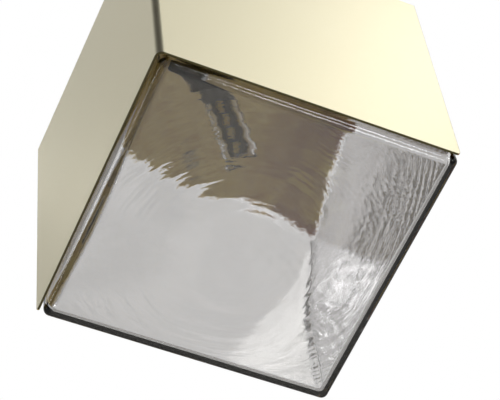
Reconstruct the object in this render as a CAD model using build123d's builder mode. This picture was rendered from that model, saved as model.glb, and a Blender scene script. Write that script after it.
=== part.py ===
"""A cube-shaped lamp head that hangs by one metal corner, with its body diagonal upright.

Three folded metal faces meet at the top corner and carry a threaded stem. A hollow glass cube fills the
rest of the cube, held from inside by a sprung clip. The lampholder and its capsule bulb stand on the axis.
The origin is on the axis, on the top nut's upper face, where a rod or a cord grip seats.
"Depth" is measured straight down from the sharp corner where the planes of the metal's outer faces meet.
"""

import os
from math import cos, radians, sin, sqrt

from build123d import *

os.makedirs("parts", exist_ok=True)

# ---- Metal corner ----
cube_side = 130.0
sheet = 1.0
fold_radius = 3.0
panel_corner_radius = 2.0
corner_drop = 10.0

# ---- Glass cube: a gap behind the metal, and slightly proud of its free edges ----
glass_gap = 1.5
glass_proud = 1.0
glass_wall = 2.5
glass_edge_radius = 3.0
glass_inner_radius = 2.5
mouth_radius = 15.5
mouth_top = 18.6
gasket = 1.0

# ---- Axial stack: radii, then depths below the metal's sharp corner ----
stem_radius = 5.0
stem_bore_radius = 3.5
stem_above = 10.0
stem_end = 41.0
edge_break = 0.4
thread_relief = 0.5
thread_relief_length = 1.0
thread_play = 0.05
fixing_play = 0.2
skin_play = 0.03
nut_across_flats = 14.0
thin_nut = 4.0
saddle_radius = 10.0
saddle_end = 12.0
saddle_rounding = 1.5
block_radius = 13.5
block_end = 18.0
washer_radius = 8.6
washer_teeth = 12
washer_notch = (1.2, 0.9)
washer_end = 18.8
earth_tag_top = 19.0
block_nut_top = 20.0
clip_top = 24.2
clip_nut_top = 25.0
cup_lock_nut_top = 29.8
stack_gap = 0.1
through = 200.0

# ---- Lampholder cup and ceramic lampholder ----
cup_top = 34.0
cup_end = 86.0
cup_radius = 10.5
cup_wall = 1.2
cup_plate = 2.0
cup_shoulder = 3.0
cup_lip = 0.5
holder_top = 58.0
holder_end = 78.0
holder_radius = 9.0
holder_chamfer = 0.6
pin_spacing = 9.0
chamber_size = (3.4, 5.0)
chamber_depth = 11.0
screw_depth = 63.0
screw_radius = 1.5
screw_length = 4.0
screw_head = (2.6, 1.6)
screw_slot = (3.2, 0.7, 0.8)

# ---- Capsule bulb ----
base_top = 78.2
base_radius = 7.4
base_end = 93.0
base_wall = 1.3
base_floor = 2.5
base_rounding = 1.0
cover_radius = 7.6
cover_wall = 1.0
cover_rounding = 1.8
cover_end = 119.4
cover_socket = 4.0
cover_ledge = 1.0
pin_length = 9.0
pin_seat = 2.0
pin_wire = 0.4
pin_loop = 1.1
core_width = 7.6
core_top = 90.0
core_end = 116.0
chip_rows = 4
chip_pitch = 6.0
chip_size = (2.8, 3.5, 0.7)

# ---- The cube's three edges, running down from the hanging corner ----
right_edge = Vector(1 / sqrt(2), 1 / sqrt(6), -1 / sqrt(3))
left_edge = Vector(-1 / sqrt(2), 1 / sqrt(6), -1 / sqrt(3))
corner = Vector(0, 0, -corner_drop)
corner_plane = Plane(origin=corner, x_dir=right_edge, z_dir=left_edge)
LOW = (Align.MIN, Align.MIN, Align.MIN)
HANGING = (Align.CENTER, Align.CENTER, Align.MAX)
STANDING = (Align.CENTER, Align.CENTER, Align.MIN)
face_angles = (90, 210, 330)


def level(depth):
    """Height of a depth below the metal's sharp corner."""
    return -corner_drop - depth


def tilted_cube(low, high, radius, every_edge=False):
    """A cube from low to high along the three edges, with the top three or all of its edges rounded."""
    with BuildPart(corner_plane) as cube:
        with Locations((low, low, low)):
            Box(high - low, high - low, high - low, align=LOW)
        top = corner + Vector(0, 0, -low * sqrt(3))
        edges = cube.edges()
        if not every_edge:
            edges = edges.filter_by(lambda edge: edge.distance_to(top) < 0.01)
        fillet(edges, radius)
    return cube.part


def hex_nut(top):
    """A thin M10 hexagon nut that hangs from a depth on the stem."""
    with BuildPart() as nut:
        with BuildSketch(Plane.XY.offset(level(top))):
            RegularPolygon(nut_across_flats / 2, 6, major_radius=False)
            Circle(stem_radius + thread_play, mode=Mode.SUBTRACT)
        extrude(amount=-thin_nut)
        chamfer(nut.edges().filter_by(GeomType.CIRCLE), edge_break)
    return nut.part


def write(part, name):
    """Label a finished piece and write it as its own STEP file."""
    part.label = name
    export_step(part, f"parts/{name}.step")


# ---- Solids that are only used to shape others ----
metal_outside = tilted_cube(0, cube_side, fold_radius)
metal_inside = tilted_cube(sheet, cube_side + 20, fold_radius - sheet)
glass_low = sheet + glass_gap
glass_high = cube_side + glass_proud
glass_outside = tilted_cube(glass_low, glass_high, glass_edge_radius, every_edge=True)
glass_inside = tilted_cube(
    glass_low + glass_wall, glass_high - glass_wall, glass_inner_radius, every_edge=True
)

# ---- Metal corner shell: three square panels folded from one sheet ----
with BuildPart() as corner_shell:
    add(metal_outside)
    add(metal_inside, mode=Mode.SUBTRACT)
    Cylinder(stem_radius + fixing_play, through, mode=Mode.SUBTRACT)
    free_corners = corner_shell.edges().filter_by(lambda edge: abs(edge.length - sheet) < 0.001)
    fillet(free_corners, panel_corner_radius)
write(corner_shell.part, "corner_shell")

# ---- Saddle outside the corner ----
saddle_top = -thin_nut
with BuildPart() as corner_saddle:
    with BuildSketch(Plane.XY.offset(saddle_top)):
        Circle(saddle_radius)
        Circle(stem_radius + fixing_play, mode=Mode.SUBTRACT)
    extrude(amount=level(saddle_end) - saddle_top)
    fillet(corner_saddle.edges().group_by(Axis.Z)[-1].sort_by(SortBy.RADIUS)[-1], saddle_rounding)
    add(tilted_cube(-skin_play, cube_side, fold_radius + skin_play), mode=Mode.SUBTRACT)
write(corner_saddle.part, "corner_saddle")

# ---- Block inside the corner ----
with BuildPart() as corner_block:
    add(tilted_cube(sheet + skin_play, cube_side, fold_radius - sheet + fixing_play))
    with Locations((0, 0, level(block_end))):
        Cylinder(block_radius, block_end, align=STANDING, mode=Mode.INTERSECT)
    Cylinder(stem_radius + fixing_play, through, mode=Mode.SUBTRACT)
write(corner_block.part, "corner_block")

# ---- Threaded stem, with the flex's way down its middle ----
with BuildPart() as hanging_stem:
    with BuildSketch(Plane.XY.offset(stem_above)):
        Circle(stem_radius)
        Circle(stem_bore_radius, mode=Mode.SUBTRACT)
    extrude(amount=level(stem_end) - stem_above)
    chamfer(hanging_stem.edges().filter_by(GeomType.CIRCLE), edge_break)
    with BuildSketch():
        Circle(stem_radius)
        Circle(stem_radius - thread_relief, mode=Mode.SUBTRACT)
    extrude(amount=-thread_relief_length, mode=Mode.SUBTRACT)
write(hanging_stem.part, "hanging_stem")

# ---- Knurled top nut ----
top_nut_radius = 8.0
knurls = 24
knurl_radius = 0.5
with BuildPart() as top_nut:
    with BuildSketch():
        Circle(top_nut_radius)
        Circle(stem_radius + thread_play, mode=Mode.SUBTRACT)
        with PolarLocations(top_nut_radius + knurl_radius / 5, knurls):
            Circle(knurl_radius, mode=Mode.SUBTRACT)
    extrude(amount=-thin_nut)
write(top_nut.part, "top_nut")

# ---- Nuts below the corner ----
write(hex_nut(block_nut_top), "block_nut")
write(hex_nut(clip_nut_top), "clip_nut")
write(hex_nut(cup_lock_nut_top), "cup_lock_nut")
write(hex_nut(cup_top + cup_plate + stack_gap), "cup_nut")

# ---- Toothed lock washer under the block ----
with BuildPart() as lock_washer:
    with BuildSketch(Plane.XY.offset(level(washer_end))):
        Circle(washer_radius)
        Circle(stem_radius + fixing_play, mode=Mode.SUBTRACT)
        with PolarLocations(washer_radius - 0.2, washer_teeth):
            Rectangle(*washer_notch, mode=Mode.SUBTRACT)
    extrude(amount=washer_end - block_end - stack_gap)
write(lock_washer.part, "lock_washer")

# ---- Earth tag: a ring with a tab folded down beside the nuts ----
tag_thickness = 0.8
tag_radius = 8.4
tag_reach = 10.6
tag_tab = (5.0, 10.0)
tag_hole = (1.6, 7.0)
tag_outward = Vector(cos(radians(30)), sin(radians(30)), 0)
tag_sideways = Vector(sin(radians(30)), -cos(radians(30)), 0)
with BuildPart() as earth_tag:
    with BuildSketch(Plane(origin=(0, 0, level(earth_tag_top)), x_dir=tag_outward, z_dir=(0, 0, 1))):
        Circle(tag_radius)
        with Locations((tag_reach / 2, 0)):
            Rectangle(tag_reach, tag_tab[0])
        Circle(stem_radius + fixing_play, mode=Mode.SUBTRACT)
    extrude(amount=-tag_thickness)
    with BuildSketch(Plane(origin=(0, 0, level(earth_tag_top)), x_dir=tag_outward, z_dir=tag_sideways)):
        with Locations((tag_reach, 0)):
            Rectangle(tag_thickness, tag_tab[1], align=(Align.MAX, Align.MAX))
    extrude(amount=tag_tab[0] / 2, both=True)
    hole_middle = tag_outward * tag_reach + Vector(0, 0, level(earth_tag_top + tag_hole[1]))
    with BuildSketch(Plane(origin=hole_middle, z_dir=tag_outward)):
        Circle(tag_hole[0])
    extrude(amount=-tag_thickness, mode=Mode.SUBTRACT)
write(earth_tag.part, "earth_tag")

# ---- Sprung clip: a ring with three legs that spread under the glass ----
clip_strip = 0.6
clip_ring_radius = 9.5
leg_width = 6.0
leg_start = 8.0
leg_bend = 12.0
leg_drop = (12.8, 35.0)
leg_bend_radius = 1.5
tip_radius = 23.0
tip_curl = (4.5, 4.0)
tip_play = 0.55
glass_face_depth = (glass_low + glass_wall) * sqrt(3)
tip_depth = glass_face_depth + tip_radius * sqrt(2) + tip_play
clip_middle = clip_top + clip_strip / 2
with BuildPart() as glass_clip:
    with BuildSketch(Plane.XY.offset(level(clip_top))):
        Circle(clip_ring_radius)
        Circle(stem_radius + fixing_play, mode=Mode.SUBTRACT)
    extrude(amount=-clip_strip)
    for angle in face_angles:
        outward = (cos(radians(angle)), sin(radians(angle)), 0)
        sideways = (sin(radians(angle)), -cos(radians(angle)), 0)
        with BuildSketch(Plane(origin=(0, 0, 0), x_dir=outward, z_dir=sideways)):
            with BuildLine():
                FilletPolyline(
                    (leg_start, level(clip_middle)),
                    (leg_bend, level(clip_middle)),
                    (leg_drop[0], level(leg_drop[1])),
                    (tip_radius, level(tip_depth)),
                    (tip_radius - tip_curl[0], level(tip_depth + tip_curl[1])),
                    radius=leg_bend_radius,
                )
                offset(amount=clip_strip / 2, side=Side.BOTH)
            make_face()
        extrude(amount=leg_width / 2, both=True)
write(glass_clip.part, "glass_clip")

# ---- Hollow glass cube, open at its top corner, where the three peaks of its rim are ground flat ----
with BuildPart() as glass_cube:
    add(glass_outside)
    add(glass_inside, mode=Mode.SUBTRACT)
    with Locations(corner):
        Cylinder(mouth_radius, through, align=HANGING, mode=Mode.SUBTRACT)
        Cylinder(cube_side, mouth_top, align=HANGING, mode=Mode.SUBTRACT)
write(glass_cube.part, "glass_cube")

# ---- Silicone sleeve that lines the glass's mouth ----
with BuildPart() as rim_gasket:
    add(glass_outside)
    add(glass_inside, mode=Mode.SUBTRACT)
    with Locations(corner):
        Cylinder(mouth_radius, through, align=HANGING, mode=Mode.INTERSECT)
        Cylinder(mouth_radius - gasket, through, align=HANGING, mode=Mode.SUBTRACT)
        Cylinder(cube_side, mouth_top, align=HANGING, mode=Mode.SUBTRACT)
write(rim_gasket.part, "rim_gasket")

# ---- Clear silicone bumpers between the panels and the glass ----
bumper_radius = 4.0
bumper_thickness = glass_gap - stack_gap
bumper_inset = 12.0
near = cube_side - bumper_inset
front_edge = left_edge.cross(right_edge)
panel_planes = (
    Plane(origin=corner, x_dir=right_edge, z_dir=left_edge),
    Plane(origin=corner, x_dir=left_edge, z_dir=front_edge),
    Plane(origin=corner, x_dir=front_edge, z_dir=right_edge),
)
with BuildPart() as shell_bumpers:
    for plane in panel_planes:
        with BuildSketch(plane.offset(sheet)):
            with Locations((near, cube_side / 2), (cube_side / 2, near)):
                Circle(bumper_radius)
        extrude(amount=bumper_thickness)
write(shell_bumpers.part, "shell_bumpers")

# ---- Lampholder cup ----
with BuildPart() as holder_cup:
    with BuildSketch(Plane.XY.offset(level(cup_top))):
        Circle(cup_radius)
    extrude(amount=-(cup_end - cup_top))
    fillet(holder_cup.edges().group_by(Axis.Z)[-1], cup_shoulder)
    with BuildSketch(Plane.XY.offset(level(cup_end))):
        Circle(cup_radius - cup_wall)
    extrude(amount=cup_end - cup_top - cup_plate, mode=Mode.SUBTRACT)
    Cylinder(stem_radius + fixing_play, through, mode=Mode.SUBTRACT)
    with Locations((0, 0, level(screw_depth))):
        Cylinder(screw_radius + stack_gap, through, rotation=(0, 90, 0), mode=Mode.SUBTRACT)
    fillet(holder_cup.edges().group_by(Axis.Z)[0].sort_by(SortBy.RADIUS)[-1], cup_lip)
write(holder_cup.part, "holder_cup")

# ---- Fibre disc between the cup's nut and the joints in the leads ----
disc_thickness = 0.8
with BuildPart() as insulating_disc:
    with BuildSketch(Plane.XY.offset(level(stem_end + fixing_play))):
        Circle(cup_radius - cup_wall - fixing_play)
        Circle(stem_bore_radius, mode=Mode.SUBTRACT)
    extrude(amount=-disc_thickness)
write(insulating_disc.part, "insulating_disc")

# ---- Ceramic lampholder, with a chamber for each pin and a hole for each lead ----
lead_radius = 0.9
with BuildPart() as lampholder:
    with BuildSketch(Plane.XY.offset(level(holder_top))):
        Circle(holder_radius)
    extrude(amount=-(holder_end - holder_top))
    chamfer(lampholder.edges().group_by(Axis.Z)[0], holder_chamfer)
    with BuildSketch(Plane.XY.offset(level(holder_end))):
        with GridLocations(pin_spacing, 1, 2, 1):
            RectangleRounded(*chamber_size, holder_chamfer)
    extrude(amount=chamber_depth, mode=Mode.SUBTRACT)
    with BuildSketch(Plane.XY.offset(level(holder_top))):
        with GridLocations(pin_spacing, 1, 2, 1):
            Circle(lead_radius + fixing_play)
    extrude(amount=-(holder_end - holder_top - chamber_depth), mode=Mode.SUBTRACT)
    for side in (-1, 1):
        with BuildSketch(Plane(origin=(side * holder_radius, 0, level(screw_depth)), z_dir=(-side, 0, 0))):
            Circle(screw_radius + thread_play)
        extrude(amount=screw_length - cup_wall - fixing_play, mode=Mode.SUBTRACT)
write(lampholder.part, "lampholder")

# ---- Two sprung contacts, each a folded strip with a gap for the pin ----
contact_strip = 0.4
contact_width = 2.8
contact_length = 9.5
contact_depth = 3.6
contact_gap = contact_width - 2 * contact_strip
BELOW = (Align.CENTER, Align.MAX)
with BuildPart() as holder_contacts:
    for side in (-1, 1):
        with BuildSketch(Plane.XZ):
            with Locations((side * pin_spacing / 2, level(holder_end - chamber_depth))):
                Rectangle(contact_width, contact_length, align=BELOW)
                with Locations((0, -contact_strip)):
                    Rectangle(contact_gap, contact_length, align=BELOW, mode=Mode.SUBTRACT)
        extrude(amount=contact_depth / 2, both=True)
write(holder_contacts.part, "holder_contacts")

# ---- Screws that hold the ceramic in the cup ----
with BuildPart() as holder_screws:
    for side in (-1, 1):
        seat = Plane(origin=(side * cup_radius, 0, level(screw_depth)), z_dir=(side, 0, 0))
        with BuildSketch(seat):
            Circle(screw_head[0])
        extrude(amount=screw_head[1])
        with BuildSketch(seat):
            Circle(screw_radius)
        extrude(amount=-screw_length)
        with BuildSketch(seat.offset(screw_head[1])):
            Rectangle(screw_slot[0], screw_slot[1])
            Rectangle(screw_slot[1], screw_slot[0])
        extrude(amount=-screw_slot[2], mode=Mode.SUBTRACT)
write(holder_screws.part, "holder_screws")

# ---- Leads from the ceramic up to their closed-end joints, inside the cup ----
joint_top = 43.0
joint_end = 53.0
joint_radius = 2.9
joint_place = 2.6
joint_dome = 2.0
lead_in_joint = 4.0
lead_bends = (54.4, 57.0)
lead_bend_radius = 1.8
lead_bottom = holder_end - chamber_depth
for name, side in (("live_lead", 1), ("neutral_lead", -1)):
    x = side * pin_spacing / 2
    y = side * joint_place
    with BuildPart() as lead:
        with BuildLine():
            FilletPolyline(
                (x, 0, level(lead_bottom)),
                (x, 0, level(lead_bends[1])),
                (x, y, level(lead_bends[0])),
                (x, y, level(joint_end - lead_in_joint)),
                radius=lead_bend_radius,
            )
        with BuildSketch(Plane(origin=(x, 0, level(lead_bottom)), z_dir=(0, 0, 1))):
            Circle(lead_radius)
        sweep()
    write(lead.part, name)

with BuildPart() as splice_caps:
    for side in (-1, 1):
        with BuildSketch(Plane.XY.offset(level(joint_end))):
            with Locations((side * pin_spacing / 2, side * joint_place)):
                Circle(joint_radius)
        extrude(amount=joint_end - joint_top)
    fillet(splice_caps.edges().group_by(Axis.Z)[-1], joint_dome)
    with BuildSketch(Plane.XY.offset(level(joint_end))):
        for side in (-1, 1):
            with Locations((side * pin_spacing / 2, side * joint_place)):
                Circle(lead_radius + stack_gap)
    extrude(amount=lead_in_joint + stack_gap, mode=Mode.SUBTRACT)
write(splice_caps.part, "splice_caps")

# ---- Bulb base ----
with BuildPart() as bulb_base:
    with BuildSketch(Plane.XY.offset(level(base_top))):
        Circle(base_radius)
    extrude(amount=-(base_end - base_top))
    fillet(bulb_base.edges().group_by(Axis.Z)[-1], base_rounding)
    with BuildSketch(Plane.XY.offset(level(base_end))):
        Circle(base_radius - base_wall)
    extrude(amount=base_end - base_top - base_floor, mode=Mode.SUBTRACT)
    with BuildSketch(Plane.XY.offset(level(base_top))):
        with GridLocations(pin_spacing, 2 * pin_loop, 2, 2):
            Circle(pin_wire + thread_play)
    extrude(amount=-pin_seat, mode=Mode.SUBTRACT)
write(bulb_base.part, "bulb_base")

# ---- Bulb pins: two loops of wire ----
with BuildPart() as bulb_pins:
    for side in (-1, 1):
        x = side * pin_spacing / 2
        with BuildLine():
            start = (x, -pin_loop, level(base_top + pin_seat))
            top = level(base_top - pin_length + pin_loop)
            up = Line(start, (x, -pin_loop, top))
            over = ThreePointArc((x, -pin_loop, top), (x, 0, top + pin_loop), (x, pin_loop, top))
            down = Line((x, pin_loop, top), (x, pin_loop, level(base_top + pin_seat)))
        with BuildSketch(Plane(origin=start, z_dir=(0, 0, 1))):
            Circle(pin_wire)
        sweep()
write(bulb_pins.part, "bulb_pins")

# ---- Driver board inside the base ----
driver_top = 81.2
driver_middle = 84.8
board_size = (1.0, 10.0, 7.6)
capacitor_size = (1.9, 3.2)
capacitor_place = -2.4
rectifier_size = (2.0, 3.4, 4.0)
rectifier_place = 2.6
choke_size = (1.6, 5.0, 4.4)
with BuildPart() as bulb_driver:
    with Locations((0, 0, level(driver_top))):
        Box(*board_size, align=HANGING)
    with Locations((board_size[0] / 2, capacitor_place, level(driver_middle))):
        Cylinder(*capacitor_size, rotation=(0, 90, 0), align=STANDING)
    with Locations((board_size[0] / 2, rectifier_place, level(driver_middle))):
        Box(*rectifier_size, align=(Align.MIN, Align.CENTER, Align.CENTER))
    with Locations((-board_size[0] / 2, 0, level(driver_middle))):
        Box(*choke_size, align=(Align.MAX, Align.CENTER, Align.CENTER))
write(bulb_driver.part, "bulb_driver")

# ---- Four-sided core that carries the chips ----
with BuildPart() as bulb_core:
    with BuildSketch(Plane.XY.offset(level(core_top))):
        RectangleRounded(core_width, core_width, edge_break)
    extrude(amount=-(core_end - core_top))
write(bulb_core.part, "bulb_core")

# ---- Chips: a column on each side of the core and one on its end ----
chip_width, chip_length, chip_height = chip_size
last_chip = core_end - chip_pitch / 2
chip_gap = 0.01
with BuildPart() as bulb_chips:
    for quarter in range(4):
        angle = radians(90 * quarter)
        outward = Vector(cos(angle), sin(angle), 0)
        sideways = Vector(-sin(angle), cos(angle), 0)
        for row in range(chip_rows):
            middle = outward * (core_width / 2 + chip_gap) + Vector(0, 0, level(last_chip - row * chip_pitch))
            with BuildSketch(Plane(origin=middle, x_dir=sideways, z_dir=outward)):
                Rectangle(chip_width, chip_length)
            extrude(amount=chip_height)
    with BuildSketch(Plane.XY.offset(level(core_end + chip_gap))):
        Rectangle(chip_width, chip_length)
    extrude(amount=-chip_height)
write(bulb_chips.part, "bulb_chips")

# ---- Clear capsule, plugged into the base ----
with BuildPart() as bulb_cover:
    with BuildSketch(Plane.XY.offset(level(base_end + thread_play))):
        Circle(cover_radius)
    extrude(amount=-(cover_end - base_end - thread_play))
    fillet(bulb_cover.edges().group_by(Axis.Z)[0], cover_rounding)
    with BuildSketch(Plane.XY.offset(level(base_end + thread_play))):
        Circle(base_radius - base_wall - stack_gap)
    extrude(amount=cover_socket)
    with BuildSketch(Plane.XY.offset(level(base_end - cover_socket))):
        Circle(core_width / sqrt(2))
    extrude(amount=-(cover_socket + cover_ledge), mode=Mode.SUBTRACT)
    with BuildSketch(Plane.XY.offset(level(base_end + cover_ledge))):
        Circle(cover_radius - cover_wall)
    extrude(amount=-(cover_end - base_end - cover_ledge - cover_wall), mode=Mode.SUBTRACT)
write(bulb_cover.part, "bulb_cover")
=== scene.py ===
"""Cube lamp head hung by its metal corner: its visible pieces, materials, lights and camera.

Everything is in metres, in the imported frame: +Z runs up the stem and the cube's body diagonal.
A place in the cube is often given along its three edges from the sharp metal corner: right, left, front.
"""

from math import cos, pi, radians, sin, sqrt, tan

import bmesh
import bpy
import numpy as np
from mathutils import Matrix, Vector, noise


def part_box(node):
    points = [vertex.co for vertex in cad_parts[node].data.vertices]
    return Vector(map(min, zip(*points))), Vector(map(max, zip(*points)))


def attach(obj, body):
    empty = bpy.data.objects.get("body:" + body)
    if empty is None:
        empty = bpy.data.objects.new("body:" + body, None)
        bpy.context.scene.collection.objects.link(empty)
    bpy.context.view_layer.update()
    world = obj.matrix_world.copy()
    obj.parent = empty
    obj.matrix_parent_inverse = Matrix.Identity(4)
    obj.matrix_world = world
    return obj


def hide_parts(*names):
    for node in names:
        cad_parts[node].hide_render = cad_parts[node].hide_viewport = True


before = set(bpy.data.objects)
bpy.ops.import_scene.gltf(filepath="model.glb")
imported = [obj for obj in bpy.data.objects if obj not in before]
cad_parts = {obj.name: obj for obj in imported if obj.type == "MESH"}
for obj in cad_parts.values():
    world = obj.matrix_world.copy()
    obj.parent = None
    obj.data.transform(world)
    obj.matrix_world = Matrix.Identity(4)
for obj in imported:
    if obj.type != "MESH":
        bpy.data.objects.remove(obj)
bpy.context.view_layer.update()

# ---- The cube as the frame holds it ----
SIDE = 0.130
CORNER = Vector((0, 0, -0.010))
RIGHT_EDGE = Vector((1 / sqrt(2), 1 / sqrt(6), -1 / sqrt(3)))
LEFT_EDGE = Vector((-1 / sqrt(2), 1 / sqrt(6), -1 / sqrt(3)))
FRONT_EDGE = Vector((0, -2 / sqrt(6), -1 / sqrt(3)))
CUBE_AXES = np.array([RIGHT_EDGE, LEFT_EDGE, FRONT_EDGE])
GLASS_LOW = 0.0025
GLASS_HIGH = SIDE + 0.001
GLASS_WALL = 0.0025
GLASS_EDGE_RADIUS = 0.003
GLASS_INNER_RADIUS = 0.0025

# ---- The round mouth, and the wider cut that grinds the peaks of its rim flat ----
MOUTH_RADIUS = 0.0155
MOUTH_TOP = CORNER.z - 0.0186
MOUTH_BOTTOM = -0.060
TRIM_RADIUS = 0.030

# ---- Ripples: rings round one point, so on each face they close up towards its edges ----
RING_PLACE = np.array((0.0675, 0.0755, 0.0655))
RING_CENTRE = CORNER + Vector(RING_PLACE @ CUBE_AXES)
FRONT_SPACING, FRONT_DEPTH = 0.0046, 0.000072
RIGHT_SPACING, RIGHT_DEPTH = 0.0044, 0.000026
LEFT_SPACING, LEFT_DEPTH = 0.0052, 0.000036
RIGHT_ROUGHNESS = 0.7
SLOW_WANDER, SLOW_SCALE = 0.0022, 22
QUICK_WANDER, QUICK_SCALE = 0.0008, 75
DENT_DEPTH, DENT_SCALE = 0.5, 130
PATCH_SCALE = 24
EDGE_FADE = (0.001, 0.008)
MIDDLE_GROWTH, GROWTH_REACH = 0.3, (0.05, 0.45)
FRONT_CALM, FRONT_CALM_REACH = 0.6, (0.070, 0.092)
RIGHT_CALM, RIGHT_CALM_REACH = 0.88, (0.055, 0.09)
OUTER_SHARE = 0.25
OUTER_MARGIN = 0.00004
OUTER_SEED, INNER_SEED = 1.0, 6.0
FLAT_CELLS, ROUND_CELLS = 96, 5

# ---- The hollow, and how far its skin moves in where the glass is thick ----
INNER_LOW, INNER_HIGH = GLASS_LOW + GLASS_WALL, GLASS_HIGH - GLASS_WALL
POOL_DEPTH = 0.0051
STEP_DEPTH = 0.0033
SWELL_DEPTH = 0.0022


# ======== Small helpers ========
def mesh_piece(name, points, faces, body, smooth=True):
    """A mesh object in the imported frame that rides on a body."""
    mesh = bpy.data.meshes.new(name)
    mesh.from_pydata([tuple(p) for p in points], [], [tuple(f) for f in faces])
    mesh.validate()
    mesh.update()
    if smooth:
        mesh.polygons.foreach_set("use_smooth", [True] * len(mesh.polygons))
    piece = bpy.data.objects.new(name, mesh)
    bpy.context.collection.objects.link(piece)
    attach(piece, body)
    return piece


def apply_modifiers(piece):
    """Bake a piece's modifiers into its mesh."""
    graph = bpy.context.evaluated_depsgraph_get()
    made = bpy.data.meshes.new_from_object(piece.evaluated_get(graph), depsgraph=graph)
    piece.modifiers.clear()
    piece.data = made


class Nodes:
    """Builds one material's node tree with short calls."""

    def __init__(self, name):
        self.material = bpy.data.materials.new(name)
        self.material.use_nodes = True
        self.tree = self.material.node_tree
        self.tree.nodes.clear()
        self.out = self.add("ShaderNodeOutputMaterial")

    def add(self, kind, inputs=None, **settings):
        node = self.tree.nodes.new(kind)
        for key, value in settings.items():
            setattr(node, key, value)
        for key, value in (inputs or {}).items():
            self.set(node.inputs[key], value)
        return node

    def set(self, socket, value):
        if isinstance(value, bpy.types.NodeSocket):
            self.tree.links.new(value, socket)
        else:
            socket.default_value = value

    def surface(self, socket):
        self.tree.links.new(socket, self.out.inputs["Surface"])

    def place(self, scale=(1, 1, 1), offset=(0, 0, 0)):
        """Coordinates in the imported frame, measured from an offset and stretched."""
        where = self.add("ShaderNodeTexCoord").outputs["Object"]
        moved = self.add("ShaderNodeVectorMath", {0: where, 1: offset}, operation="SUBTRACT").outputs[0]
        return self.add("ShaderNodeMapping", {"Vector": moved, "Scale": scale}).outputs[0]

    def noise(self, scale, detail=3.0, rough=0.5, where=None, stretch=(1, 1, 1), distortion=0.0):
        where = where or self.place(stretch)
        return self.add(
            "ShaderNodeTexNoise",
            {"Vector": where, "Scale": scale, "Detail": detail, "Roughness": rough, "Distortion": distortion},
        ).outputs["Fac"]

    def ramp(self, value, low, high, out_low=0.0, out_high=1.0):
        return self.add(
            "ShaderNodeMapRange",
            {"Value": value, "From Min": low, "From Max": high, "To Min": out_low, "To Max": out_high},
        ).outputs[0]

    def mix(self, amount, a, b):
        node = self.add("ShaderNodeMix", data_type="RGBA")
        self.set(node.inputs[0], amount)
        self.set(node.inputs[6], a)
        self.set(node.inputs[7], b)
        return node.outputs[2]

    def math(self, operation, a, b):
        return self.add("ShaderNodeMath", {0: a, 1: b}, operation=operation).outputs[0]

    def bump(self, height, strength, distance):
        return self.add(
            "ShaderNodeBump", {"Height": height, "Strength": strength, "Distance": distance}
        ).outputs[0]

    def principled(self, **inputs):
        names = {k.replace("_", " "): v for k, v in inputs.items()}
        shader = self.add("ShaderNodeBsdfPrincipled", names)
        self.surface(shader.outputs[0])
        return shader


def rgb(r, g, b):
    return (r, g, b, 1.0)


# ======== Materials ========
# Distances along the cube's edges: where the painted shade on the sheet's cut edge starts, and where the
# brass inside turns darker red-brown in patches.
SHADED_EDGE_SPAN = (SIDE - 0.0003, SIDE - 0.0001)
FAR_DARK_SPAN = (0.085, 0.125)


def polished_gold():
    """Satin pale gold outside, streaked raw brass on the faces that look down, and painted shade along the
    cut edges.
    """
    n = Nodes("polished_gold")
    where = n.place(offset=CORNER)
    along = [
        n.add("ShaderNodeVectorMath", {0: where, 1: edge}, operation="DOT_PRODUCT").outputs["Value"]
        for edge in (RIGHT_EDGE, LEFT_EDGE, FRONT_EDGE)
    ]
    furthest = n.math("MAXIMUM", n.math("MAXIMUM", along[0], along[1]), along[2])
    # cut: painted shade, a near-black band over the sheet's last 0.3 mm that stands for the dark line along
    # its edge.
    cut = n.ramp(furthest, *SHADED_EDGE_SPAN)
    normal = n.add("ShaderNodeNewGeometry").outputs["Normal"]
    up = n.add("ShaderNodeSeparateXYZ", {"Vector": normal}).outputs[2]
    inside = n.ramp(up, 0.05, -0.25)
    outer = n.mix(n.noise(9.0, 2.0), rgb(0.91, 0.85, 0.62), rgb(0.95, 0.90, 0.69))
    streaks = n.ramp(n.noise(60.0, 5.0, 0.65, stretch=(1, 2.2, 1), distortion=1.5), 0.3, 0.7)
    strokes = n.ramp(n.noise(330.0, 3.0, 0.6, stretch=(1, 2.0, 1), distortion=2.0), 0.35, 0.65, -0.22, 0.22)
    brass = n.mix(n.math("ADD", streaks, strokes), rgb(0.72, 0.48, 0.13), rgb(1.0, 0.82, 0.30))
    patches = n.ramp(n.noise(38.0, 3.0), 0.36, 0.52)
    # Darker red-brown patches on the inner brass towards the far end of the right edge.
    far_darkening = n.math("MULTIPLY", n.ramp(along[0], *FAR_DARK_SPAN), patches)
    inner = n.mix(far_darkening, brass, rgb(0.42, 0.19, 0.11))
    # The last colour here, near-black olive, is the painted shade on the cut edges.
    colour = n.mix(cut, n.mix(inside, outer, inner), rgb(0.11, 0.095, 0.045))
    satin = n.ramp(n.noise(900.0, 2.0), 0.3, 0.7, 0.37, 0.43)
    n.principled(
        Base_Color=colour,
        Metallic=1.0,
        Roughness=n.math("ADD", satin, n.math("MULTIPLY", inside, 0.12)),
        Normal=n.bump(n.noise(350.0, 2.0), 0.02, 0.0002),
    )
    return n.material


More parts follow.
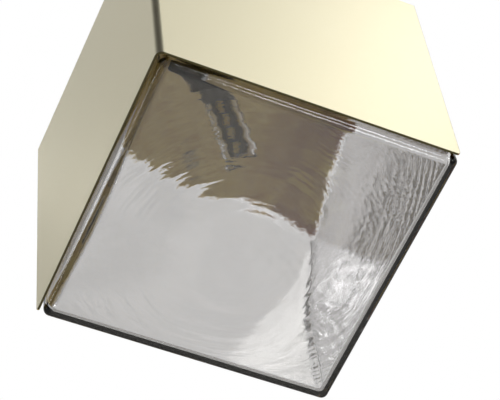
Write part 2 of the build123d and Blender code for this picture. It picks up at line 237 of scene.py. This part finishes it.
def smoked_glass():
    """Grey glass. Its finest rings and marks are bump; the ripples that bend the view are in the mesh."""
    n = Nodes("smoked_glass")
    centre = n.place(offset=RING_CENTRE)
    wander = n.noise(30.0, 2.0, 0.5)
    rings = n.add(
        "ShaderNodeTexWave",
        {"Vector": centre, "Scale": 210.0, "Distortion": 5.0, "Detail": 2.0, "Detail Scale": 0.6},
        wave_type="RINGS", rings_direction="SPHERICAL", wave_profile="SIN",
    ).outputs["Fac"]
    marks = n.noise(650.0, 3.0, 0.65, distortion=0.6)
    waves = n.noise(140.0, 2.0, 0.5, distortion=0.3)
    ringed = n.math("MULTIPLY", rings, n.ramp(wander, 0.35, 0.65, 0.05, 0.5))
    height = n.math("ADD", n.math("ADD", ringed, n.math("MULTIPLY", marks, 0.5)), waves)
    tint = n.mix(n.noise(14.0, 2.0), rgb(0.842, 0.838, 0.842), rgb(0.868, 0.865, 0.868))
    n.principled(
        Base_Color=tint, Roughness=0.01, IOR=1.5, Transmission_Weight=1.0, Normal=n.bump(height, 0.15, 0.0002)
    )
    return n.material


def clear_plastic():
    """Clear moulded cover with faint flow marks."""
    n = Nodes("clear_plastic")
    flow = n.noise(240.0, 2.0, 0.5, stretch=(1, 1, 0.5), distortion=0.4)
    n.principled(
        Base_Color=rgb(0.965, 0.97, 0.97),
        Roughness=0.03,
        IOR=1.52,
        Transmission_Weight=1.0,
        Normal=n.bump(flow, 0.35, 0.0003),
    )
    return n.material


def clear_rubber():
    """Clear silicone with a faintly frosted skin."""
    n = Nodes("clear_silicone")
    frost = n.noise(900.0, 2.0)
    n.principled(
        Base_Color=n.mix(frost, rgb(0.93, 0.93, 0.92), rgb(0.97, 0.97, 0.96)),
        Roughness=0.12,
        IOR=1.41,
        Transmission_Weight=1.0,
        Normal=n.bump(frost, 0.05, 0.0001),
    )
    return n.material


def metal(name, dark, light, roughness, grain=(1, 1, 1), bump=0.08):
    """A plain or brushed metal whose tone and roughness wander slightly."""
    n = Nodes(name)
    streak = n.noise(500.0, 3.0, 0.6, stretch=grain)
    n.principled(
        Base_Color=n.mix(streak, rgb(*dark), rgb(*light)),
        Metallic=1.0,
        Roughness=n.ramp(streak, 0.3, 0.7, roughness * 0.85, roughness * 1.15),
        Normal=n.bump(streak, bump, 0.0001),
    )
    return n.material


def moulded(name, dark, light, roughness, scale=600.0, bump=0.1):
    """A moulded or fired surface with fine pores and a slightly cloudy tone."""
    n = Nodes(name)
    pores = n.noise(scale, 4.0, 0.6)
    n.principled(
        Base_Color=n.mix(n.noise(scale / 8, 2.0), rgb(*dark), rgb(*light)),
        Roughness=n.ramp(pores, 0.3, 0.7, roughness * 0.9, roughness * 1.1),
        Normal=n.bump(pores, bump, 0.0001),
    )
    return n.material


GOLD = polished_gold()
GLASS = smoked_glass()
CLEAR = clear_plastic()
CLEAR_SILICONE = clear_rubber()
STEEL = metal("zinc_steel", (0.45, 0.46, 0.47), (0.68, 0.69, 0.70), 0.32)
SPRING = metal("spring_steel", (0.30, 0.31, 0.33), (0.46, 0.47, 0.50), 0.28, (1, 1, 0.1))
ALUMINIUM = metal("milled_aluminium", (0.60, 0.61, 0.62), (0.80, 0.81, 0.82), 0.35, (1, 1, 12))
BRASS = metal("rolled_brass", (0.62, 0.46, 0.20), (0.80, 0.64, 0.32), 0.3)
CUP_BLACK = moulded("black_lacquer", (0.012, 0.012, 0.012), (0.022, 0.021, 0.02), 0.35, 900.0, 0.05)
CERAMIC = moulded("steatite", (0.74, 0.72, 0.67), (0.84, 0.83, 0.79), 0.55)
FIBRE = moulded("fibre_board", (0.16, 0.08, 0.05), (0.26, 0.14, 0.08), 0.7, 400.0, 0.3)
BROWN = moulded("brown_sleeve", (0.10, 0.035, 0.015), (0.14, 0.05, 0.02), 0.45)
BLUE = moulded("blue_sleeve", (0.02, 0.06, 0.22), (0.03, 0.09, 0.30), 0.45)
SPLICE = moulded("splice_plastic", (0.62, 0.62, 0.58), (0.74, 0.74, 0.70), 0.3)
SILICONE = moulded("silicone", (0.45, 0.45, 0.44), (0.56, 0.56, 0.55), 0.4)
BASE = moulded("base_plastic", (0.20, 0.20, 0.195), (0.26, 0.26, 0.255), 0.35)
BOARD = moulded("driver_board", (0.02, 0.12, 0.05), (0.03, 0.18, 0.07), 0.45)
CORE = moulded("core_board", (0.17, 0.17, 0.165), (0.25, 0.25, 0.24), 0.4, 300.0)
PHOSPHOR = moulded("phosphor_gel", (1.0, 0.62, 0.05), (1.0, 0.76, 0.11), 0.35, 2500.0, 0.2)

NODE_MATERIALS = {
    "corner_shell": GOLD, "corner_saddle": GOLD, "top_nut": GOLD, "corner_block": ALUMINIUM,
    "hanging_stem": STEEL, "block_nut": STEEL, "clip_nut": STEEL, "cup_lock_nut": STEEL, "cup_nut": STEEL,
    "lock_washer": STEEL, "earth_tag": STEEL, "glass_clip": SPRING, "shell_bumpers": CLEAR_SILICONE,
    "holder_cup": CUP_BLACK, "insulating_disc": FIBRE, "lampholder": CERAMIC, "holder_contacts": BRASS,
    "holder_screws": STEEL, "live_lead": BROWN, "neutral_lead": BLUE, "splice_caps": SPLICE,
    "glass_cube": GLASS, "rim_gasket": SILICONE, "bulb_base": BASE, "bulb_pins": STEEL,
    "bulb_driver": BOARD, "bulb_core": CORE, "bulb_chips": PHOSPHOR, "bulb_cover": CLEAR,
}
for node, material in NODE_MATERIALS.items():
    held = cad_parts[node]
    held.data.materials.clear()
    held.data.materials.append(material)


# ======== The rippled glass cube ========
def lattice(low, high, radius, flat_cells, round_cells):
    """Points and faces of a cube surface whose edges are rounded, in the cube's own coordinates."""
    edge = [low + radius * (1 - tan(pi / 4 * (1 - k / round_cells))) for k in range(round_cells)]
    flat = list(np.linspace(low + radius, high - radius, flat_cells + 1))
    line = edge + flat + [low + high - v for v in reversed(edge)]
    last = len(line) - 1
    index, points, faces, normals = {}, [], [], []

    def point(i, j, k):
        if (i, j, k) not in index:
            raw = np.array([line[i], line[j], line[k]])
            centre = np.clip(raw, low + radius, high - radius)
            out = raw - centre
            out = out / np.linalg.norm(out)
            index[i, j, k] = len(points)
            points.append(centre + out * radius)
            normals.append(out)
        return index[i, j, k]

    for axis in range(3):
        for end in (0, last):
            for i in range(last):
                for j in range(last):
                    ring = []
                    for a, b in ((i, j), (i + 1, j), (i + 1, j + 1), (i, j + 1)):
                        spot = [a, b]
                        spot.insert(axis, end)
                        ring.append(point(*spot))
                    flip = (axis == 1) != (end == 0)
                    faces.append(tuple(reversed(ring)) if flip else tuple(ring))
    return np.array(points), faces, np.array(normals)


def smooth(value, low, high):
    """0 below low, 1 above high, and a smooth rise between."""
    t = np.clip((value - low) / (high - low), 0.0, 1.0)
    return t * t * (3 - 2 * t)


def wander(points, scale, seed):
    """Smooth noise at each point, from about -1 to 1."""
    shift = Vector((seed, seed * 1.7, seed * 2.3))
    return np.array([noise.noise(Vector(p) * scale + shift) for p in points])


def ripples(points, normals, low, high, seed):
    """Height of the skin's rings and dents on each point, fading out towards the cube's edges.

    They are calmer where the front pane nears the right wall and where the right wall nears the metal.
    """
    middle = (low + high) / 2
    half = (high - low) / 2
    inward = np.sort(np.abs(points - middle), axis=1)
    flat = smooth(half - inward[:, 1], *EDGE_FADE)
    front = normals[:, 2] > 0.9
    right = normals[:, 0] > 0.9
    spacing = np.where(front, FRONT_SPACING, np.where(right, RIGHT_SPACING, LEFT_SPACING))
    depth = np.where(front, FRONT_DEPTH, np.where(right, RIGHT_DEPTH, LEFT_DEPTH))
    roughness = np.where(right, RIGHT_ROUGHNESS, 1.0)
    reach = np.linalg.norm(points - RING_PLACE, axis=1)
    slow = SLOW_WANDER * wander(points, SLOW_SCALE, seed)
    reach += slow + QUICK_WANDER * roughness * wander(points, QUICK_SCALE, seed + 3)
    across = np.sqrt(np.maximum(reach**2 - half**2, 0)) / half
    growth = MIDDLE_GROWTH + (1 - MIDDLE_GROWTH) * smooth(across, *GROWTH_REACH)
    near_right = smooth(points[:, 0], *FRONT_CALM_REACH)
    from_metal = smooth(points[:, 2], *RIGHT_CALM_REACH)
    growth = np.where(front, growth * (1 - FRONT_CALM * near_right), growth)
    growth = np.where(right, growth * (1 - RIGHT_CALM + RIGHT_CALM * from_metal), growth)
    strength = np.clip(0.65 + 1.1 * wander(points, PATCH_SCALE, seed + 9), 0.05, 1.6)
    rings = np.sin(2 * pi * reach / spacing) * growth * strength
    dents = DENT_DEPTH * roughness * wander(points, DENT_SCALE, seed + 5)
    return flat * depth * (rings + dents)


def pooled(points):
    """Where the hollow's skin moves to, in from the front pane and from the wall behind the left metal face.

    The pane is thickest at its left and has a step before its right end. Both swell most near half-way down.
    """
    right, left, front = ((points - INNER_LOW) / (INNER_HIGH - INNER_LOW)).T
    pane_rise = smooth(left, -0.05, 0.62) * (1 - smooth(left, 0.55, 1.0)) * smooth(front, 0.6, 0.97)
    pool = POOL_DEPTH * (1 - smooth(right, -0.25, 0.4))
    step = STEP_DEPTH * (1 - smooth(right, 0.55, 0.82))
    wall_rise = smooth(left, 0.15, 0.62) * (1 - smooth(left, 0.62, 1.0)) * smooth(front, 0.35, 0.9)
    moved = points.copy()
    moved[:, 2] -= (pool + step) * pane_rise
    moved[:, 0] += SWELL_DEPTH * wall_rise * (1 - smooth(right, 0.02, 0.3))
    return moved


def cut_away(piece, radius, bottom):
    """Cut a round hole on the axis out of a piece, from a height up to its top."""
    height = CORNER.z - bottom
    bm = bmesh.new()
    bmesh.ops.create_cone(
        bm, cap_ends=True, segments=160, radius1=radius, radius2=radius, depth=height,
        matrix=Matrix.Translation((0, 0, bottom + height / 2)),
    )
    mesh = bpy.data.meshes.new("cutter")
    bm.to_mesh(mesh)
    bm.free()
    cutter = bpy.data.objects.new("cutter", mesh)
    bpy.context.collection.objects.link(cutter)
    cut = piece.modifiers.new("cut", "BOOLEAN")
    cut.operation, cut.object, cut.solver = "DIFFERENCE", cutter, "EXACT"
    apply_modifiers(piece)
    bpy.data.objects.remove(cutter)


def rippled_glass():
    """The hollow cube: an outer and an inner skin, with the round mouth cut out of its top corner."""
    outer, outer_faces, out_way = lattice(GLASS_LOW, GLASS_HIGH, GLASS_EDGE_RADIUS, FLAT_CELLS, ROUND_CELLS)
    outer_lift = OUTER_SHARE * ripples(outer, out_way, GLASS_LOW, GLASS_HIGH, OUTER_SEED) - OUTER_MARGIN
    outer = outer + out_way * outer_lift[:, None]
    inner, inner_faces, in_way = lattice(INNER_LOW, INNER_HIGH, GLASS_INNER_RADIUS, FLAT_CELLS, ROUND_CELLS)
    inner_lift = ripples(inner, in_way, INNER_LOW, INNER_HIGH, INNER_SEED)
    inner = pooled(inner + in_way * inner_lift[:, None])
    joined = outer_faces + [tuple(reversed([v + len(outer) for v in f])) for f in inner_faces]
    skins = np.vstack([outer, inner]) @ CUBE_AXES + np.array(CORNER)
    piece = mesh_piece("glass_body", skins, joined, "glass")
    for radius, bottom in ((MOUTH_RADIUS, MOUTH_BOTTOM), (TRIM_RADIUS, MOUTH_TOP)):
        cut_away(piece, radius, bottom)
    piece.data.materials.clear()
    piece.data.materials.append(GLASS)
    piece.data.polygons.foreach_set("use_smooth", [True] * len(piece.data.polygons))
    piece.data.set_sharp_from_angle(angle=radians(45))
    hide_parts("glass_cube")
    return piece


rippled_glass()


# ======== Fittings: the thread, softened edges and the bulb's chips ========
STEM_RADIUS, STEM_BORE = 0.005, 0.0035
THREAD_PITCH, THREAD_DEPTH = 0.001, 0.00055
THREAD_ROWS, THREAD_COLUMNS = 8, 64
STEM_CHAMFER = 0.0004
CHIP_SIZE = (0.0028, 0.0035, 0.0007)
CHIP_ROWS, CHIP_PITCH = 4, 0.006
CHIP_RIM, GEL_DEPTH = 0.00022, 0.0001
CORE_HALF = 0.0038
CORE_END = CORNER.z - 0.116
CHIP_CLEARANCE = 0.00001
SHELL_BEVEL, FITTING_BEVEL = 0.00018, 0.0003


def threaded_stem():
    """The stem with its thread cut as one long groove, and the flex's bore down its middle."""
    low, high = (corner[2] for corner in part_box("hanging_stem"))
    heights = np.linspace(low, high, int((high - low) / THREAD_PITCH * THREAD_ROWS) + 1)
    angles = np.linspace(0, 2 * pi, THREAD_COLUMNS, endpoint=False)
    turns = heights[:, None] / THREAD_PITCH + angles[None, :] / (2 * pi)
    groove = np.clip(1.3 * np.abs(2 * (turns % 1.0) - 1) - 0.15, 0, 1)
    from_end = np.minimum(heights - low, high - heights)[:, None]
    radius = np.minimum(STEM_RADIUS - THREAD_DEPTH * groove, STEM_RADIUS - STEM_CHAMFER + from_end)
    rings = [(height, row) for height, row in zip(heights, radius)]
    rings += [(high, STEM_BORE), (low, STEM_BORE)]
    points, faces = [], []
    for height, row in rings:
        spread = np.broadcast_to(row, angles.shape)
        points += [(r * cos(angle), r * sin(angle), height) for r, angle in zip(spread, angles)]
    for ring in range(len(rings)):
        below, above = ring * THREAD_COLUMNS, (ring + 1) % len(rings) * THREAD_COLUMNS
        for column in range(THREAD_COLUMNS):
            following = (column + 1) % THREAD_COLUMNS
            faces.append((below + column, below + following, above + following, above + column))
    piece = mesh_piece("stem_thread", points, faces, "hanger")
    piece.data.materials.append(STEEL)
    piece.data.set_sharp_from_angle(angle=radians(40))
    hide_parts("hanging_stem")


def softened(node, width):
    """A copy of a CAD node with small rounded edges, which stands for it."""
    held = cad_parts[node]
    mesh = held.data.copy()
    bm = bmesh.new()
    bm.from_mesh(mesh)
    bmesh.ops.remove_doubles(bm, verts=bm.verts, dist=1e-6)
    bmesh.ops.dissolve_limit(bm, angle_limit=radians(0.5), verts=bm.verts, edges=bm.edges)
    bm.to_mesh(mesh)
    bm.free()
    piece = bpy.data.objects.new(f"{node}_soft", mesh)
    bpy.context.collection.objects.link(piece)
    bevel = piece.modifiers.new("edges", "BEVEL")
    bevel.width, bevel.segments, bevel.limit_method, bevel.angle_limit = width, 2, "ANGLE", radians(35)
    mesh.polygons.foreach_set("use_smooth", [True] * len(mesh.polygons))
    piece.modifiers.new("normals", "WEIGHTED_NORMAL").weight = 100
    apply_modifiers(piece)
    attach(piece, "hanger")
    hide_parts(node)


def chip_mesh(bm, place):
    """Add one chip: a moulded frame with a sunken window of phosphor gel."""
    made = bmesh.ops.create_cube(bm, size=1, matrix=place @ Matrix.Diagonal((*CHIP_SIZE, 1)))
    out = place.to_3x3() @ Vector((0, 0, 1))
    faces = {face for vert in made["verts"] for face in vert.link_faces}
    top = max(faces, key=lambda face: face.calc_center_median().dot(out))
    bmesh.ops.inset_region(bm, faces=[top], thickness=CHIP_RIM)
    bmesh.ops.translate(bm, verts=top.verts, vec=-out * GEL_DEPTH)
    top.material_index = 1


def chips():
    """The chips on the core's four sides and its end."""
    bm = bmesh.new()
    half = CHIP_SIZE[2] / 2 + CHIP_CLEARANCE
    for quarter in range(4):
        turn = Matrix.Rotation(quarter * pi / 2, 4, "Z")
        for row in range(CHIP_ROWS):
            height = CORE_END + CHIP_PITCH * (row + 0.5)
            upright = Matrix.Rotation(pi / 2, 4, "Z") @ Matrix.Rotation(pi / 2, 4, "X")
            chip_mesh(bm, turn @ Matrix.Translation((CORE_HALF + half, 0, height)) @ upright)
    chip_mesh(bm, Matrix.Translation((0, 0, CORE_END - half)) @ Matrix.Rotation(pi, 4, "X"))
    mesh = bpy.data.meshes.new("chip_set")
    bm.to_mesh(mesh)
    bm.free()
    piece = bpy.data.objects.new("chip_set", mesh)
    bpy.context.collection.objects.link(piece)
    mesh.materials.append(BASE)
    mesh.materials.append(PHOSPHOR)
    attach(piece, "bulb")
    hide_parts("bulb_chips")


threaded_stem()
chips()
softened("corner_shell", SHELL_BEVEL)
softened("top_nut", FITTING_BEVEL)
softened("corner_saddle", FITTING_BEVEL)
for nut in ("block_nut", "clip_nut", "cup_lock_nut", "cup_nut"):
    softened(nut, FITTING_BEVEL)


# ======== Stage: floor, light, camera ========
# The studio's walls: each is a span of the direction's x, y or z, and the brightness at the span's two ends.
# The drapes' span is of their noise.
FRONT_TO_BACK = (-0.35, 0.45, 0.6, 0.9)
OVERHEAD = (0.64, 0.79, 1.0, 0.03)
LEFT_SIDE = (-0.75, -0.1, 0.49, 1.0)
DRAPES, DRAPE_SCALE = (0.3, 0.7, 0.82, 1.05), 16.0

# A dark card straight behind the lamp, just above level. Its edges fade, and its left one slants along x - z.
CARD_SLANT = (-0.116, -0.100, 0.0, 1.0)
CARD_FOOT = (-0.045, -0.015, 0.0, 1.0)
CARD_RIGHT = (0.08, 0.16, 1.0, 0.0)
CARD_TOP = (0.12, 0.20, 1.0, 0.0)
CARD_FRONT = (0.3, 0.6, 0.0, 1.0)
CARD_SHADE = (0.0, 1.0, 1.0, 0.16)

# Lights that face the lamp: name, direction, distance, side of the square, watts, colour.
LAMP_MIDDLE = Vector((0, 0, -0.12))
SOFTBOXES = (
    ("key", (0.575, 0.618, 0.525), 1.62, 0.22, 0.57, (1.0, 0.99, 0.93)),
    ("kicker", (-0.571, 0.743, 0.350), 1.56, 0.06, 0.07, (1, 1, 1)),
    ("rim_right", (0.80, -0.60, 0.05), 1.6, 0.3, 2.8, (1, 1, 1)),
    ("rim_left", (-0.92, -0.38, 0.05), 1.6, 0.3, 1.2, (1, 1, 1)),
)
WASH_PLACE = (-0.3, -0.8, -1.5)
WASH_SIZE, WASH_POWER, WASH_COLOUR = 2.4, 19.0, (1.0, 0.97, 0.90)

# How much the floor glows where the camera sees it directly, so that it stays pale far from the lamp.
FLOOR_LIFT = 0.55
FLOOR_HEIGHT, FLOOR_REACH = -2.4, 14

CAMERA_PLACE = (0.1192, -0.8866, -0.1924)
CAMERA_AHEAD = (-0.1339, 0.9896, 0.0529)
CAMERA_UP = (0.3453, -0.0034, 0.9385)
CAMERA_LENS, CAMERA_SENSOR = 150.96, 36.0
CAMERA_CLIP = (0.05, 60.0)
LIGHT_BOUNCES = 24


def world_light():
    """A white studio that is dark overhead and dimmer behind the camera. The camera sees it plain white."""
    world = bpy.data.worlds.new("studio")
    bpy.context.scene.world = world
    world.use_nodes = True
    tree = world.node_tree
    tree.nodes.clear()

    def add(kind, **settings):
        node = tree.nodes.new(kind)
        for key, value in settings.items():
            setattr(node, key, value)
        return node

    def ramp(value, span):
        node = add("ShaderNodeMapRange", interpolation_type="SMOOTHSTEP")
        tree.links.new(value, node.inputs[0])
        for slot, number in zip((1, 2, 3, 4), span):
            node.inputs[slot].default_value = number
        return node.outputs[0]

    def combine(operation, first, *others):
        for other in others:
            node = add("ShaderNodeMath", operation=operation)
            tree.links.new(first, node.inputs[0])
            tree.links.new(other, node.inputs[1])
            first = node.outputs[0]
        return first

    way = add("ShaderNodeTexCoord").outputs["Generated"]
    split = add("ShaderNodeSeparateXYZ")
    tree.links.new(way, split.inputs[0])
    x, y, z = split.outputs
    slant = combine("SUBTRACT", x, z)
    card_spans = ((slant, CARD_SLANT), (x, CARD_RIGHT), (z, CARD_TOP), (y, CARD_FRONT), (z, CARD_FOOT))
    card = combine("MULTIPLY", *(ramp(value, span) for value, span in card_spans))
    drape = add("ShaderNodeTexNoise")
    tree.links.new(way, drape.inputs["Vector"])
    drape.inputs["Scale"].default_value = DRAPE_SCALE
    drape.inputs["Detail"].default_value = 2.0
    wall_spans = ((y, FRONT_TO_BACK), (z, OVERHEAD), (x, LEFT_SIDE), (drape.outputs["Fac"], DRAPES))
    walls = combine("MULTIPLY", *(ramp(value, span) for value, span in wall_spans))
    strength = combine("MULTIPLY", walls, ramp(card, CARD_SHADE))
    light = add("ShaderNodeBackground")
    tree.links.new(strength, light.inputs["Strength"])
    light.inputs["Color"].default_value = rgb(1.0, 0.995, 0.98)
    white = add("ShaderNodeBackground")
    white.inputs["Color"].default_value = rgb(1, 1, 1)
    seen = add("ShaderNodeMixShader")
    tree.links.new(add("ShaderNodeLightPath").outputs["Is Camera Ray"], seen.inputs[0])
    tree.links.new(light.outputs[0], seen.inputs[1])
    tree.links.new(white.outputs[0], seen.inputs[2])
    tree.links.new(seen.outputs[0], add("ShaderNodeOutputWorld").inputs["Surface"])


def softbox(name, direction, distance, size, power, colour):
    """A square area light that faces the lamp from a direction."""
    lamp = bpy.data.lights.new(name, "AREA")
    lamp.size, lamp.energy, lamp.color = size, power, colour
    box = bpy.data.objects.new(name, lamp)
    bpy.context.collection.objects.link(box)
    way = Vector(direction).normalized()
    box.location = LAMP_MIDDLE + way * distance
    box.rotation_mode = "QUATERNION"
    box.rotation_quaternion = way.to_track_quat("Z", "Y")


def floor_wash():
    """A light under the lamp that faces the floor, so the brass inside mirrors a bright floor."""
    lamp = bpy.data.lights.new("floor_wash", "AREA")
    lamp.size, lamp.energy, lamp.color = WASH_SIZE, WASH_POWER, WASH_COLOUR
    box = bpy.data.objects.new("floor_wash", lamp)
    bpy.context.collection.objects.link(box)
    box.location = WASH_PLACE


def floor():
    """A wide pale floor far below the hanging lamp."""
    n = Nodes("pale_floor")
    tone = n.mix(n.noise(3.0, 3.0), rgb(0.80, 0.79, 0.78), rgb(0.84, 0.835, 0.83))
    seen = n.add("ShaderNodeLightPath").outputs["Is Camera Ray"]
    lift = n.math("MULTIPLY", seen, FLOOR_LIFT)
    n.principled(Base_Color=tone, Roughness=0.7, Emission_Color=tone, Emission_Strength=lift)
    bm = bmesh.new()
    bmesh.ops.create_grid(bm, x_segments=8, y_segments=8, size=FLOOR_REACH)
    mesh = bpy.data.meshes.new("floor")
    bm.to_mesh(mesh)
    bm.free()
    ground = bpy.data.objects.new("floor", mesh)
    ground.location = (0, 0, FLOOR_HEIGHT)
    mesh.materials.append(n.material)
    bpy.context.collection.objects.link(ground)


def camera():
    """A little below the lamp's middle and right of its front fold, and rolled by about 20 degrees."""
    data = bpy.data.cameras.new("camera")
    data.lens, data.sensor_width = CAMERA_LENS, CAMERA_SENSOR
    data.clip_start, data.clip_end = CAMERA_CLIP
    holder = bpy.data.objects.new("camera", data)
    bpy.context.collection.objects.link(holder)
    holder.location = CAMERA_PLACE
    ahead = Vector(CAMERA_AHEAD).normalized()
    right = ahead.cross(Vector(CAMERA_UP)).normalized()
    up = right.cross(ahead)
    holder.rotation_mode = "QUATERNION"
    holder.rotation_quaternion = Matrix((right, up, -ahead)).transposed().to_quaternion()
    bpy.context.scene.camera = holder


world_light()
for settings in SOFTBOXES:
    softbox(*settings)
floor_wash()
floor()
camera()
bpy.context.scene.view_settings.view_transform = "Standard"
bpy.context.scene.cycles.max_bounces = LIGHT_BOUNCES
bpy.context.scene.cycles.transmission_bounces = LIGHT_BOUNCES
